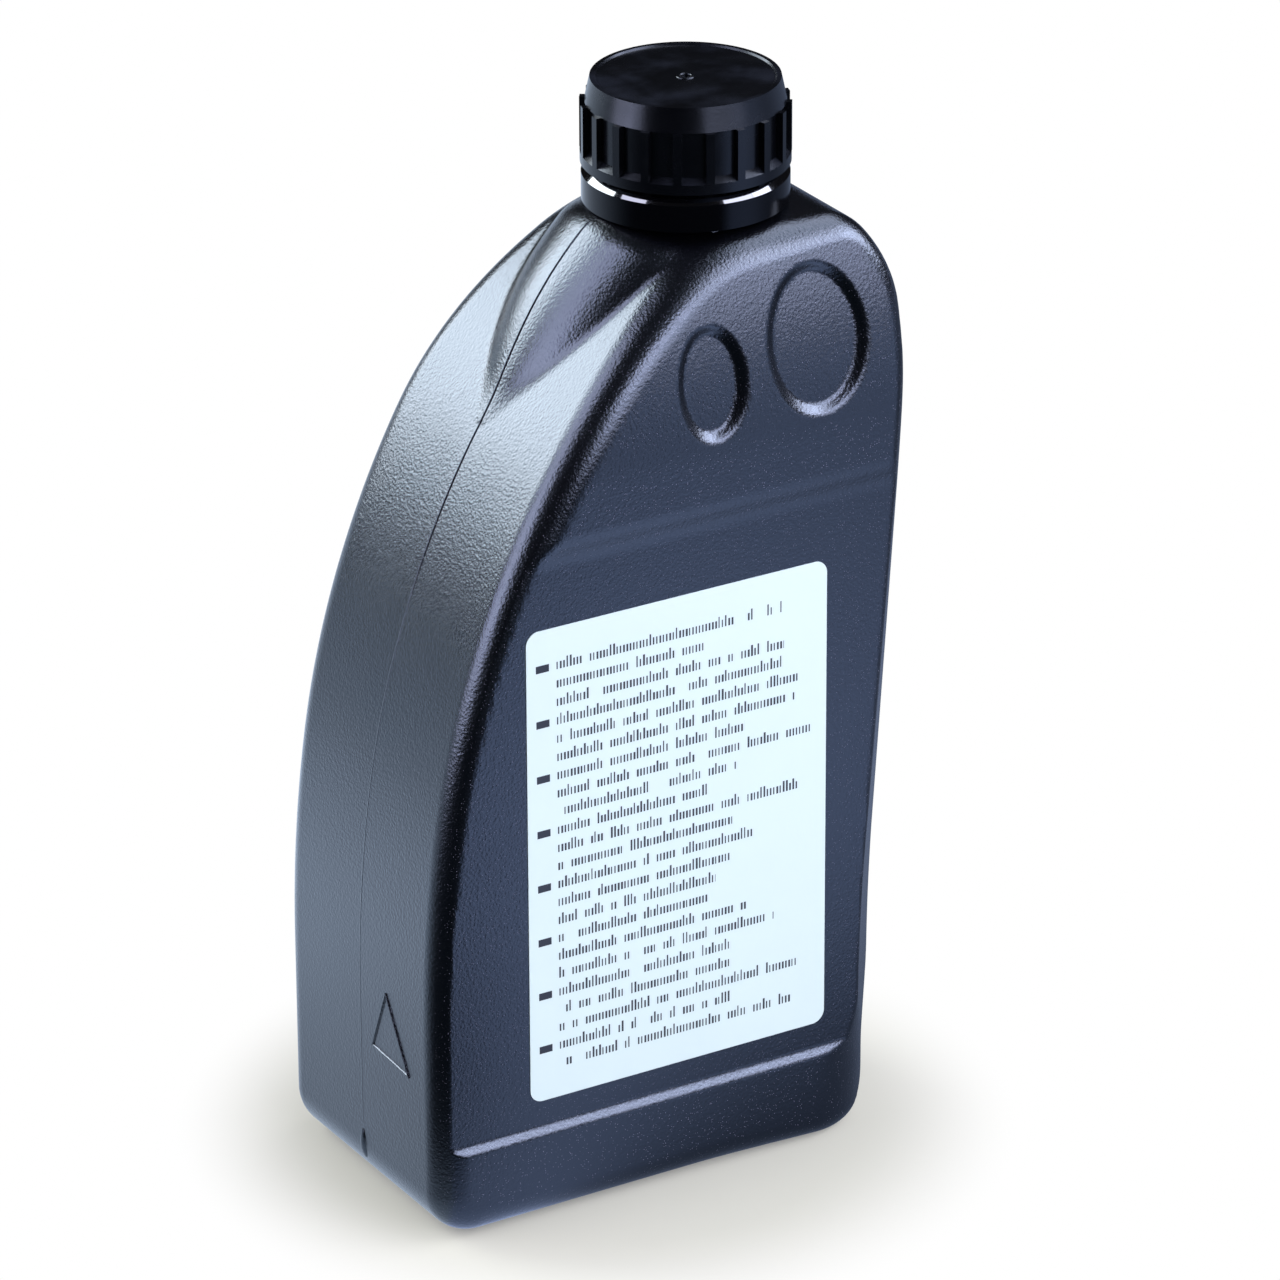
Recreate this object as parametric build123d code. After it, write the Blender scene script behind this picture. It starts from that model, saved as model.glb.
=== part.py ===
"""Flat one-litre oil bottle: blown shell, screw cap, tamper ring, sealing disc and back label.

Millimetres, +Z up. The origin is the middle of the base. The mould's parting plane is Y = 0, the label looks
towards -Y, and the neck stands off-centre towards +X.
"""

import os
from math import asin, cos, degrees, radians, sin, tan

from build123d import *

# Body of the bottle
body_width = 110.0
body_depth = 64.4
crown_height = 198.5
wall = 1.3
rim_round = 5.4
base_round = 10.0

# Curved narrow side: three tangent bends, each a radius and a turn in degrees, then a straight run to the top
lower_bend_radius = 300.0
middle_bend_radius = 194.0
upper_bend_radius = 90.0
bend_turns = (8.4, 20.6, 22.0)
top_run = 27.5
top_round = 10.0

# Round shoulder on the other narrow side
shoulder_radius = 25.0
shoulder_turn = 49.5

# Backward lean of the broad faces above the grip
lean_radius = 110.0
lean_height = 41.5
lean_turn = 30.0

# Tapering bevels on the two corners of the straight narrow side
bevel_width = 11.8
bevel_depth = 14.7
bevel_full_height = 47.0
bevel_end_drop = 8.5

# Shallow label field across both broad faces
field_low = 19.6
field_drop = 51.3
field_depth = 1.25
field_low_slope = 1.4
field_high_slope = 3.2

# Oval finger dimples: middle from the straight narrow side and from the crown, outer width and height
dimple_depth = 1.4
dimple_slope = 2.6
large_dimple_inset = 20.9
large_dimple_drop = 21.7
large_dimple_width = 24.3
large_dimple_height = 31.8
small_dimple_inset = 45.5
small_dimple_drop = 25.7
small_dimple_width = 16.9
small_dimple_height = 24.7

# Hollow under the base, which leaves a flat ring to stand on
hollow_margin = 12.0
hollow_depth = 2.2
hollow_round = 12.0
hollow_slope = 3.0

# Neck, its root, and the ramp that falls from it to the curved narrow side
neck_inset = 33.0
neck_radius = 16.6
neck_wall = 1.6
mouth_round = 0.5
ledge_rise = 1.5
ledge_setback = 0.4
ramp_foot_inset = 32.5
ramp_foot_drop = 35.5
ramp_foot_radius = 2.5
ramp_waist_share = 0.593
ramp_waist_drop = 14.5
ramp_waist_radius = 15.5
bead_depth = 1.3
bead_height = 1.2
bead_gap = 0.8

# Screw thread, shared by the neck and the cap
thread_pitch = 4.0
thread_turns = 1.5
thread_depth = 1.3
thread_root_width = 1.9
thread_crest_width = 0.9
thread_sink = 0.25
thread_clearance = 0.4
thread_bead_gap = 1.95
thread_mouth_gap = 1.55

# Cap: walls outside the threaded bore, and heights down from the top
cap_skirt_wall = 2.6
cap_rib_wall = 2.65
cap_band_wall = 1.65
cap_panel_wall = 1.2
cap_taper = 1.05
cap_top_thickness = 2.0
cap_rim_width = 0.9
cap_dish = 0.35
cap_band_height = 4.9
cap_panel_height = 10.4
cap_lip_height = 1.1
cap_rib_count = 20
cap_rib_width = 1.7
gate_radius = 0.9
gate_depth = 0.35

# Tamper ring and its parted bridges
ring_setback = 0.2
ring_clearance = 0.6
ring_height = 6.6
ring_wall = 1.3
ring_lip_height = 1.0
ring_bevel = 1.1
ring_seat_gap = 0.1
bridge_count = 10
bridge_width = 1.6
bridge_depth = 1.0
bridge_height = 0.9
bridge_gap = 0.3

# Sealing disc, and the label with its gaps to the edges of the field
disc_thickness = 1.2
disc_clearance = 0.35
label_left_gap = 21.35
label_right_gap = 19.15
label_foot_gap = 7.1
label_head_gap = 17.3
label_corner = 2.8
label_thickness = 0.15

# One overrun serves every cut
overrun = 10.0

half_width = body_width / 2
half_depth = body_depth / 2
field_high = crown_height - field_drop
neck_x = half_width - neck_inset
bore_radius = neck_radius - neck_wall

# Radii from the neck outwards
cap_inner_radius = neck_radius + thread_depth + thread_clearance
cap_radius = cap_inner_radius + cap_skirt_wall
ring_radius = cap_radius - ring_setback
root_radius = ring_radius - ledge_setback

# Heights from the ledge upwards
ledge_height = crown_height + ledge_rise
ring_base = ledge_height + ring_seat_gap
ring_top = ring_base + ring_height
bead_base = ring_top + bead_gap
cap_base = ring_top + bridge_height + bridge_gap
cap_thread_start = bead_base + bead_height + thread_bead_gap + thread_root_width / 2
neck_thread_start = cap_thread_start + thread_pitch / 2
neck_thread_end = neck_thread_start + thread_pitch * thread_turns
mouth_height = neck_thread_end + thread_root_width / 2 + thread_mouth_gap
cap_top = mouth_height + disc_thickness + cap_top_thickness

# Ramp sections
ramp_foot_x = ramp_foot_inset - half_width
ramp_foot_height = crown_height - ramp_foot_drop
ramp_waist_x = ramp_foot_x + (neck_x - ramp_foot_x) * ramp_waist_share
ramp_waist_height = crown_height - ramp_waist_drop


def side_outline(inset):
    """Front view of the body, drawn inside the outer skin by the inset."""
    left = -half_width + inset
    right = half_width - inset
    foot = inset
    top = crown_height - inset
    first, second, third = bend_turns
    rise = lower_bend_radius * sin(radians(first))
    rise += middle_bend_radius * (sin(radians(first + second)) - sin(radians(first)))
    rise += upper_bend_radius * (sin(radians(sum(bend_turns))) - sin(radians(first + second)))
    slope = radians(sum(bend_turns))
    bend_start = crown_height - rise - top_run * cos(slope)
    riser = Line((left, foot), (left, bend_start))
    lower = JernArc(riser @ 1, riser % 1, lower_bend_radius - inset, -first)
    middle = JernArc(lower @ 1, lower % 1, middle_bend_radius - inset, -second)
    upper = JernArc(middle @ 1, middle % 1, upper_bend_radius - inset, -third)
    bend_end = upper @ 1
    slope_end = (bend_end.X + (top - bend_end.Y) * tan(slope), top)
    shoulder_centre = crown_height - shoulder_radius * sin(radians(shoulder_turn))
    shoulder_inner = shoulder_radius - inset
    turn = degrees(asin((top - shoulder_centre) / shoulder_inner))
    wall_line = Line((right, foot), (right, shoulder_centre))
    shoulder = JernArc(wall_line @ 1, wall_line % 1, shoulder_inner, turn)
    run = Line(bend_end, slope_end)
    ceiling = Line(slope_end, shoulder @ 1)
    floor = Line((right, foot), (left, foot))
    face = make_face([riser, lower, middle, upper, run, ceiling, shoulder, wall_line, floor])
    corners = face.vertices().group_by(Axis.Y)
    face = fillet(corners[-1], top_round - inset)
    return fillet(face.vertices().group_by(Axis.Y)[0], base_round - inset)


def depth_outline(inset):
    """Side view of the body: upright broad faces that lean back towards the neck."""
    half = half_depth - inset
    foot = inset
    lean_start = crown_height - lean_height
    front = Line((half, foot), (half, lean_start))
    lean = JernArc(front @ 1, front % 1, lean_radius - inset, lean_turn)
    back = mirror(front, about=Plane.YZ)
    back_lean = mirror(lean, about=Plane.YZ)
    roof = Line(lean @ 1, back_lean @ 1)
    floor = Line((half, foot), (-half, foot))
    return make_face([front, lean, roof, back_lean, back, floor])


def depth_form(inset):
    """Body depth profile carried across the whole width."""
    return extrude(Plane.YZ * depth_outline(inset), body_width, both=True)


def bevel_tool(side, inset):
    """Wedge that bevels one corner of the straight narrow side, fading out upwards."""
    bevel_end_height = crown_height - bevel_end_drop
    corner_x = half_width - inset
    corner_y = side * (half_depth - inset)
    across = Vector(corner_x - bevel_width, corner_y, 0)
    along = Vector(corner_x, corner_y - side * bevel_depth, 0)
    edge = (along - across).normalized()
    outward = Vector(abs(edge.Y), side * abs(edge.X), 0)
    start = across - edge * overrun
    end = along + edge * overrun
    push = outward * overrun
    plan = make_face(Polyline(start, end, end + push, start + push, close=True))
    lift = bevel_end_height - bevel_full_height
    reach = bevel_width * outward.X
    fade = Plane(
        origin=across + Vector(0, 0, bevel_full_height),
        x_dir=edge,
        z_dir=outward * lift - Vector(0, 0, reach),
    )
    return split(extrude(plan, bevel_end_height), bisect_by=fade, keep=Keep.TOP)


def field_tool(side, inset):
    """Shallow cut of the label field, with a steep lower wall and a gentle upper one."""
    skin = half_depth - inset
    floor = skin - field_depth
    shelf = skin + overrun
    low_slope_share = field_low_slope / field_depth
    high_slope_share = field_high_slope / field_depth
    low = field_low - inset
    high = field_high + inset
    outline = Polyline(
        (side * shelf, low - overrun * low_slope_share),
        (side * floor, low + field_low_slope),
        (side * floor, high - field_high_slope),
        (side * shelf, high + overrun * high_slope_share),
        close=True,
    )
    return extrude(Plane.YZ * make_face(outline), body_width, both=True)


def dimple_tool(side, inset, side_inset, drop, width, height):
    """Oval recess with sloping walls, as deep all over as the leaning face it is pressed into."""
    x = half_width - side_inset
    z = crown_height - drop
    rise = max(lean_height - drop, 0)
    lean = asin(rise / lean_radius)
    skin = half_depth - lean_radius * (1 - cos(lean))
    plane = Plane(origin=(x, side * skin, z), x_dir=(1, 0, 0), z_dir=(0, side * cos(lean), sin(lean)))
    slope_share = dimple_slope / dimple_depth
    sag = (height / 2) ** 2 / (2 * lean_radius)
    half_length = height / 2 + sag * slope_share
    inner_depth = dimple_depth + dimple_depth
    outer_rise = inset + dimple_depth
    grow = inset + outer_rise * slope_share
    shrink = inset - inner_depth * slope_share
    outer = plane.offset(outer_rise) * Ellipse(width / 2 + grow, half_length + grow)
    inner = plane.offset(-inner_depth) * Ellipse(width / 2 + shrink, half_length + shrink)
    return loft([inner, outer], ruled=True) - depth_form(inset + dimple_depth)


def hollow_tool(inset):
    """Shallow hollow under the base, narrowing upwards."""
    length = body_width - 2 * hollow_margin + 2 * inset
    width = body_depth - 2 * hollow_margin + 2 * inset
    mouth = RectangleRounded(length, width, hollow_round)
    crown = RectangleRounded(length - 2 * hollow_slope, width - 2 * hollow_slope, hollow_round - hollow_slope)
    return loft([mouth, Pos(0, 0, hollow_depth + inset) * crown], ruled=True)


def neck_ramp(inset):
    """Cone that falls from the neck's root and dies away on the curved narrow side."""
    foot = Pos(ramp_foot_x, 0, ramp_foot_height) * Circle(ramp_foot_radius - inset)
    waist = Pos(ramp_waist_x, 0, ramp_waist_height) * Circle(ramp_waist_radius - inset)
    root = Pos(neck_x, 0, ledge_height - inset) * Circle(root_radius - inset)
    return loft([foot, waist, root])


def bottle_form(inset):
    """Outer skin of the bottle below the neck, or its inside when drawn in by the wall."""
    block = extrude(Plane.XZ * side_outline(inset), body_depth, both=True) & depth_form(inset)
    smooth = block.edges().filter_by(Axis.Y) + block.edges().filter_by(Axis.X).group_by(Axis.Z)[1]
    rims = [edge for edge in block.edges() if edge not in smooth]
    block = fillet(rims, rim_round - inset)
    for side in (-1, 1):
        block -= bevel_tool(side, inset)
        block -= field_tool(side, inset)
        block -= dimple_tool(
            side, inset, large_dimple_inset, large_dimple_drop, large_dimple_width, large_dimple_height
        )
        block -= dimple_tool(
            side, inset, small_dimple_inset, small_dimple_drop, small_dimple_width, small_dimple_height
        )
    root_height = ledge_height - inset - ramp_foot_height
    root = Cylinder(root_radius - inset, root_height, align=(Align.CENTER, Align.CENTER, Align.MIN))
    root = Pos(neck_x, 0, ramp_foot_height) * root
    return block + neck_ramp(inset) + root - hollow_tool(inset)


def thread_ridge(start_height, foot_radius, crest_radius):
    """Helical ridge on the neck's axis, from its foot to its crest."""
    path = Helix(thread_pitch, thread_pitch * thread_turns, foot_radius)
    section = Polyline(
        (0, -thread_root_width / 2),
        (0, thread_root_width / 2),
        (crest_radius - foot_radius, thread_crest_width / 2),
        (crest_radius - foot_radius, -thread_crest_width / 2),
        close=True,
    )
    plane = Plane(origin=path @ 0, x_dir=(1, 0, 0), z_dir=path % 0)
    return Pos(neck_x, 0, start_height) * sweep(plane * make_face(section), path, is_frenet=True)


def turned(*points):
    """Solid of revolution about the neck's axis, from a closed line of radius and height."""
    return Pos(neck_x, 0, 0) * revolve(Plane.XZ * make_face(Polyline(*points, close=True)), Axis.Z)


def make_bottle():
    """Hollow blown shell with its threaded neck."""
    neck = turned(
        (0, ramp_waist_height),
        (neck_radius, ramp_waist_height),
        (neck_radius, mouth_height - mouth_round),
        (neck_radius - mouth_round, mouth_height),
        (0, mouth_height),
    )
    bead_radius = neck_radius + bead_depth
    bead = turned(
        (bore_radius, bead_base),
        (bead_radius, bead_base),
        (bead_radius, bead_base + bead_height / 2),
        (neck_radius, bead_base + bead_height),
        (bore_radius, bead_base + bead_height),
    )
    ridge = thread_ridge(neck_thread_start, neck_radius - thread_sink, neck_radius + thread_depth)
    bore = turned(
        (0, ramp_waist_height),
        (bore_radius, ramp_waist_height),
        (bore_radius, mouth_height + overrun),
        (0, mouth_height + overrun),
    )
    return bottle_form(0) + neck + bead + ridge - bottle_form(wall) - bore


def make_cap():
    """Screw cap with a ribbed skirt, a rimmed top and an inside thread."""
    band_base = cap_top - cap_band_height
    band_radius = cap_inner_radius + cap_band_wall
    panel_base = band_base - cap_panel_height
    panel_radius = cap_inner_radius + cap_panel_wall
    top_radius = band_radius - cap_taper
    inside_top = cap_top - cap_top_thickness
    floor_radius = top_radius - cap_rim_width - cap_dish
    shell = turned(
        (0, cap_top - cap_dish),
        (floor_radius, cap_top - cap_dish),
        (floor_radius + cap_dish, cap_top),
        (top_radius, cap_top),
        (band_radius, band_base),
        (panel_radius, band_base),
        (panel_radius, panel_base + cap_lip_height),
        (cap_radius, panel_base),
        (cap_radius, cap_base),
        (cap_inner_radius, cap_base),
        (cap_inner_radius, inside_top),
        (0, inside_top),
    )
    rib = Box(cap_rib_wall, cap_rib_width, cap_panel_height, align=(Align.MAX, Align.CENTER, Align.MIN))
    for place in PolarLocations(cap_inner_radius + cap_rib_wall, cap_rib_count):
        shell += Pos(neck_x, 0, panel_base) * place * rib
    gate = Pos(neck_x, 0, cap_top - cap_dish) * Cylinder(gate_radius, gate_depth + gate_depth)
    ridge = thread_ridge(cap_thread_start, cap_inner_radius + thread_sink, cap_inner_radius - thread_depth)
    return shell + ridge - gate


def make_tamper_ring():
    """Ring that stays under the neck's bead, with the stubs of its parted bridges."""
    lip_radius = neck_radius + ring_clearance
    ring = turned(
        (ring_radius - ring_wall, ring_base),
        (ring_radius, ring_base),
        (ring_radius, ring_top - ring_bevel),
        (ring_radius - ring_bevel, ring_top),
        (lip_radius, ring_top),
        (lip_radius, ring_top - ring_lip_height),
        (ring_radius - ring_wall, ring_top - ring_lip_height),
    )
    stub = Box(bridge_depth, bridge_width, bridge_height, align=(Align.MAX, Align.CENTER, Align.MIN))
    for place in PolarLocations(ring_radius - ring_bevel, bridge_count):
        ring += Pos(neck_x, 0, ring_top) * place * stub
    return ring


def make_sealing_disc():
    """Flat disc between the mouth and the cap's top."""
    disc_radius = cap_inner_radius - disc_clearance
    seat = Pos(neck_x, 0, mouth_height)
    return seat * Cylinder(disc_radius, disc_thickness, align=(Align.CENTER, Align.CENTER, Align.MIN))


def make_label():
    """Round-cornered sticker in the front label field."""
    left = label_left_gap - half_width
    right = half_width - label_right_gap
    foot = field_low + label_foot_gap
    head = field_high - label_head_gap
    middle = ((left + right) / 2, field_depth - half_depth, (foot + head) / 2)
    plane = Plane(origin=middle, x_dir=(1, 0, 0), z_dir=(0, -1, 0))
    return extrude(plane * RectangleRounded(right - left, head - foot, label_corner), label_thickness)


pieces = {
    "bottle": make_bottle(),
    "screw_cap": make_cap(),
    "tamper_ring": make_tamper_ring(),
    "sealing_disc": make_sealing_disc(),
    "back_label": make_label(),
}
os.makedirs("parts", exist_ok=True)
for name, piece in pieces.items():
    export_step(piece, f"parts/{name}.step")
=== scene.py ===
"""Looks of a flat one-litre oil bottle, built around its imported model.

Meshes are worked out in millimetres and handed to Blender in metres, in the model's own frame: +Z up,
the label towards -Y, the neck off-centre towards +X and the mould's parting plane at Y = 0.
"""

import logging
from dataclasses import dataclass, field
from enum import Enum
from math import cos, hypot, pi, radians, sin, sqrt
from typing import Any, Callable, Iterable, Union

import bpy
import numpy as np
from mathutils import Matrix, Vector


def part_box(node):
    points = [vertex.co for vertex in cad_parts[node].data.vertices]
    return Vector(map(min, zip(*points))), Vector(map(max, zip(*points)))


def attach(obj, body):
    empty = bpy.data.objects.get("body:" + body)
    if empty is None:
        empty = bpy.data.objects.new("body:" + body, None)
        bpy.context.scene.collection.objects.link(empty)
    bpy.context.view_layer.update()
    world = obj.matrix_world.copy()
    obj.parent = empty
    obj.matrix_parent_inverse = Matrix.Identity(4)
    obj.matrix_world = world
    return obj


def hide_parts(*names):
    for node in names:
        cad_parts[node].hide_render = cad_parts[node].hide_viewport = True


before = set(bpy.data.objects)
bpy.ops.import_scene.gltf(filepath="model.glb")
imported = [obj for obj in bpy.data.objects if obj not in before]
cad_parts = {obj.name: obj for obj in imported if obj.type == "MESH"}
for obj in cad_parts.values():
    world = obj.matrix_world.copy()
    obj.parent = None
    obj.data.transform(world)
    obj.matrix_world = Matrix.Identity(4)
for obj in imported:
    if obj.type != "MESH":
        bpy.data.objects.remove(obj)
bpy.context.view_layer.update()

MM = 0.001
LOG = logging.getLogger("oil_bottle")

Array = np.ndarray
Colour = tuple[float, float, float]
Point = tuple[float, float, float]
Span = tuple[float, float]
Band = tuple[float, float, float]
Form = Callable[[Array, Array, Array], Array]


class Blend(Enum):
    """How two implicit forms meet."""

    UNION = -1.0
    CUT = 1.0


class Slot(Enum):
    """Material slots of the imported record."""

    BOTTLE = "bottle_plastic"
    CAP = "cap_plastic"
    RING = "ring_plastic"
    DISC = "disc_foam"
    LABEL = "label_film"


class Wire:
    """A shader socket that takes part in Python arithmetic; each operation adds one Math node."""

    def __init__(self, graph: "Sheet", socket: bpy.types.NodeSocket) -> None:
        """Keeps the socket and the graph that it belongs to."""
        self.graph = graph
        self.socket = socket

    def _math(self, operation: str, first: "Term", second: "Term" = 0.0) -> "Wire":
        """Adds one Math node.

        Args:
            operation: Blender's name of the operation.
            first: first operand.
            second: second operand, which one-sided operations ignore.

        Returns:
            The node's result.
        """
        node = self.graph.node("ShaderNodeMath", {"operation": operation}, {0: first, 1: second})
        return Wire(self.graph, node.outputs[0])

    def __add__(self, other: "Term") -> "Wire":
        """Sum."""
        return self._math("ADD", self, other)

    def __radd__(self, other: float) -> "Wire":
        """Sum with a number on the left."""
        return self._math("ADD", other, self)

    def __sub__(self, other: "Term") -> "Wire":
        """Difference."""
        return self._math("SUBTRACT", self, other)

    def __rsub__(self, other: float) -> "Wire":
        """Difference from a number."""
        return self._math("SUBTRACT", other, self)

    def __mul__(self, other: "Term") -> "Wire":
        """Product."""
        return self._math("MULTIPLY", self, other)

    def __rmul__(self, other: float) -> "Wire":
        """Product with a number on the left."""
        return self._math("MULTIPLY", other, self)

    def __truediv__(self, other: "Term") -> "Wire":
        """Quotient."""
        return self._math("DIVIDE", self, other)

    def __gt__(self, other: "Term") -> "Wire":
        """One where this exceeds the other, zero elsewhere."""
        return self._math("GREATER_THAN", self, other)

    def __lt__(self, other: "Term") -> "Wire":
        """One where this is less than the other, zero elsewhere."""
        return self._math("LESS_THAN", self, other)

    def __abs__(self) -> "Wire":
        """Absolute value."""
        return self._math("ABSOLUTE", self)

    def floor(self) -> "Wire":
        """Whole number below."""
        return self._math("FLOOR", self)

    def fraction(self) -> "Wire":
        """Part after the whole number."""
        return self._math("FRACT", self)


Term = Union[Wire, float]


class Sheet:
    """Node tree of a material or of the surround."""

    def __init__(self, owner: Union[bpy.types.Material, bpy.types.World], output: str) -> None:
        """Empties the owner's tree and adds its output.

        Args:
            owner: material or surround.
            output: Blender's type of the output node.
        """
        owner.use_nodes = True
        self.tree = owner.node_tree
        self.tree.nodes.clear()
        self.output = self.node(output, {}, {})

    def node(self, kind: str, settings: dict[str, Any], sockets: dict[Any, Any]) -> bpy.types.Node:
        """Adds one node.

        Args:
            kind: Blender's node type.
            settings: properties of the node, set before its sockets.
            sockets: values, wires or sockets for its inputs, by name or number.

        Returns:
            The new node.
        """
        node = self.tree.nodes.new(kind)
        for key, value in settings.items():
            setattr(node, key, value)
        for key, value in sockets.items():
            self.feed(node.inputs[key], value)
        return node

    def feed(self, socket: bpy.types.NodeSocket, value: Any) -> None:
        """Links a wire or socket to an input, or sets its value.

        Args:
            socket: the input.
            value: wire, socket, number, colour or vector.
        """
        if isinstance(value, Wire):
            self.link(value.socket, socket)
        elif isinstance(value, bpy.types.NodeSocket):
            self.link(value, socket)
        elif socket.type == "RGBA":
            socket.default_value = (*value, 1.0)
        else:
            socket.default_value = value

    def link(self, source: bpy.types.NodeSocket, target: bpy.types.NodeSocket) -> None:
        """Joins two sockets."""
        self.tree.links.new(source, target)

    def wire(self, kind: str, settings: dict[str, Any], sockets: dict[Any, Any], out: Any = 0) -> Wire:
        """Adds one node and wraps one of its outputs.

        Args:
            kind: Blender's node type.
            settings: properties of the node.
            sockets: values or links for its inputs.
            out: name or number of the output.

        Returns:
            The wrapped output.
        """
        return Wire(self, self.node(kind, settings, sockets).outputs[out])


class Graph(Sheet):
    """A material's node tree with a Principled shader."""

    def __init__(self, name: str) -> None:
        """Makes a material with its shader and output.

        Args:
            name: name of the material.
        """
        self.material = bpy.data.materials.new(name)
        super().__init__(self.material, "ShaderNodeOutputMaterial")
        self.shader = self.node("ShaderNodeBsdfPrincipled", {}, {})
        self.link(self.shader.outputs[0], self.output.inputs["Surface"])

    def place(self) -> bpy.types.NodeSocket:
        """Point on the surface in the object's own metres."""
        return self.node("ShaderNodeTexCoord", {}, {}).outputs["Object"]

    def axes(self) -> tuple[Wire, Wire, Wire]:
        """The point's three coordinates."""
        split = self.node("ShaderNodeSeparateXYZ", {}, {0: self.place()})
        return Wire(self, split.outputs[0]), Wire(self, split.outputs[1]), Wire(self, split.outputs[2])

    def facing(self, axis: str) -> Wire:
        """One part, X, Y or Z, of the surface's outward direction."""
        normal = self.node("ShaderNodeNewGeometry", {}, {}).outputs["Normal"]
        return self.wire("ShaderNodeSeparateXYZ", {}, {0: normal}, axis)

    def vector(self, operation: str, first: Any, second: Any = (0.0, 0.0, 0.0)) -> bpy.types.Node:
        """Adds one Vector Math node.

        Args:
            operation: Blender's name of the operation.
            first: vector or socket.
            second: vector or socket, which one-sided operations ignore.

        Returns:
            The new node.
        """
        return self.node("ShaderNodeVectorMath", {"operation": operation}, {0: first, 1: second})

    def noise(self, size: float, detail: float = 2.0) -> Wire:
        """Soft noise.

        Args:
            size: length of one wave in metres.
            detail: octaves.

        Returns:
            A value about one half.
        """
        sockets = {"Vector": self.place(), "Scale": 1.0 / size, "Detail": detail}
        return self.wire("ShaderNodeTexNoise", {}, sockets)

    def ramp(self, value: Wire, low: float, high: float) -> Wire:
        """Smooth step of a value.

        Args:
            value: what is ramped.
            low: where the step starts.
            high: where it ends.

        Returns:
            Zero below the step and one above it.
        """
        settings = {"interpolation_type": "SMOOTHSTEP"}
        return self.wire("ShaderNodeMapRange", settings, {"Value": value, "From Min": low, "From Max": high})

    def mix(self, factor: Term, first: Any, second: Any) -> bpy.types.NodeSocket:
        """Mix of two colours.

        Args:
            factor: share of the second.
            first: colour or socket.
            second: colour or socket.

        Returns:
            The mixed colour.
        """
        node = self.node("ShaderNodeMix", {"data_type": "RGBA"}, {0: factor})
        self.feed(node.inputs[6], first)
        self.feed(node.inputs[7], second)
        return node.outputs[2]

    def glow(self, tone: Colour) -> bpy.types.NodeSocket:
        """Shader that shines in one colour."""
        return self.node("ShaderNodeEmission", {}, {"Color": tone}).outputs[0]

    def blend(self, factor: Term, first: Any, second: Any) -> bpy.types.NodeSocket:
        """Mix of two shaders by the share of the second."""
        return self.node("ShaderNodeMixShader", {}, {0: factor, 1: first, 2: second}).outputs[0]

    def bump(self, height: Wire, distance: float, strength: float = 1.0) -> bpy.types.NodeSocket:
        """Bump of the shading normal.

        Args:
            height: relief from zero to one.
            distance: depth of the relief in metres.
            strength: share of its effect.

        Returns:
            The bumped normal.
        """
        sockets = {"Strength": strength, "Distance": distance, "Height": height}
        return self.node("ShaderNodeBump", {}, sockets).outputs["Normal"]

    def set(self, **sockets: Any) -> bpy.types.Material:
        """Sets the shader's inputs, with spaces written as underscores.

        Args:
            sockets: values or links by input name.

        Returns:
            The material.
        """
        for key, value in sockets.items():
            self.feed(self.shader.inputs[key.replace("_", " ")], value)
        return self.material


@dataclass(frozen=True)
class GrainedPlastic:
    """Black blown plastic with a fine leather grain and tiny painted glints, brightest on the broad faces."""

    name: str
    base: Colour = (0.0008, 0.0009, 0.0015)
    painted_glint: Colour = (0.12, 0.115, 0.15)
    gloss_tint: Colour = (0.76, 0.86, 1.0)
    index: float = 1.72
    roughness: float = 0.25
    roughness_swing: float = 0.06
    grain: float = 0.0006
    grain_depth: float = 0.00008
    glint_pitch: float = 0.00048
    glint_radius: float = 0.17
    glint_share: float = 0.70
    glint_dim: float = 0.15
    broad_turn: Span = (0.35, 0.85)
    pebble_weight: float = 0.7
    crumb_weight: float = 0.6
    crumb_share: float = 0.6
    patch: float = 0.016

    def material(self) -> bpy.types.Material:
        """Builds the finish.

        Returns:
            The material.
        """
        graph = Graph(self.name)
        cells = {"Vector": graph.place(), "Scale": 1.0 / self.grain}
        pebbles = graph.wire("ShaderNodeTexVoronoi", {"feature": "SMOOTH_F1"}, cells)
        crumbs = graph.noise(self.grain * self.crumb_share, detail=3.0)
        relief = pebbles * self.pebble_weight + crumbs * self.crumb_weight
        # Painted glints: bright dots in the base colour that stand in for highlights on the grain, dimmed
        # where the surface turns away from the broad faces.
        cells = {"Vector": graph.place(), "Scale": 1.0 / self.glint_pitch}
        dots = graph.node("ShaderNodeTexVoronoi", {}, cells)
        near = Wire(graph, dots.outputs["Distance"]) < self.glint_radius
        draws = graph.node("ShaderNodeSeparateColor", {}, {0: dots.outputs["Color"]})
        chosen = Wire(graph, draws.outputs[0]) < self.glint_share
        strength = Wire(graph, draws.outputs[1])
        broad = self.glint_dim + (1.0 - self.glint_dim) * graph.ramp(abs(graph.facing("Y")), *self.broad_turn)
        painted_glints = near * chosen * strength * broad
        patches = graph.noise(self.patch, detail=3.0)
        return graph.set(
            Base_Color=graph.mix(painted_glints, self.base, self.painted_glint),
            Roughness=self.roughness + (patches - 0.5) * self.roughness_swing,
            Normal=graph.bump(relief, self.grain_depth),
            IOR=self.index,
            Specular_Tint=self.gloss_tint,
        )


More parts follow.
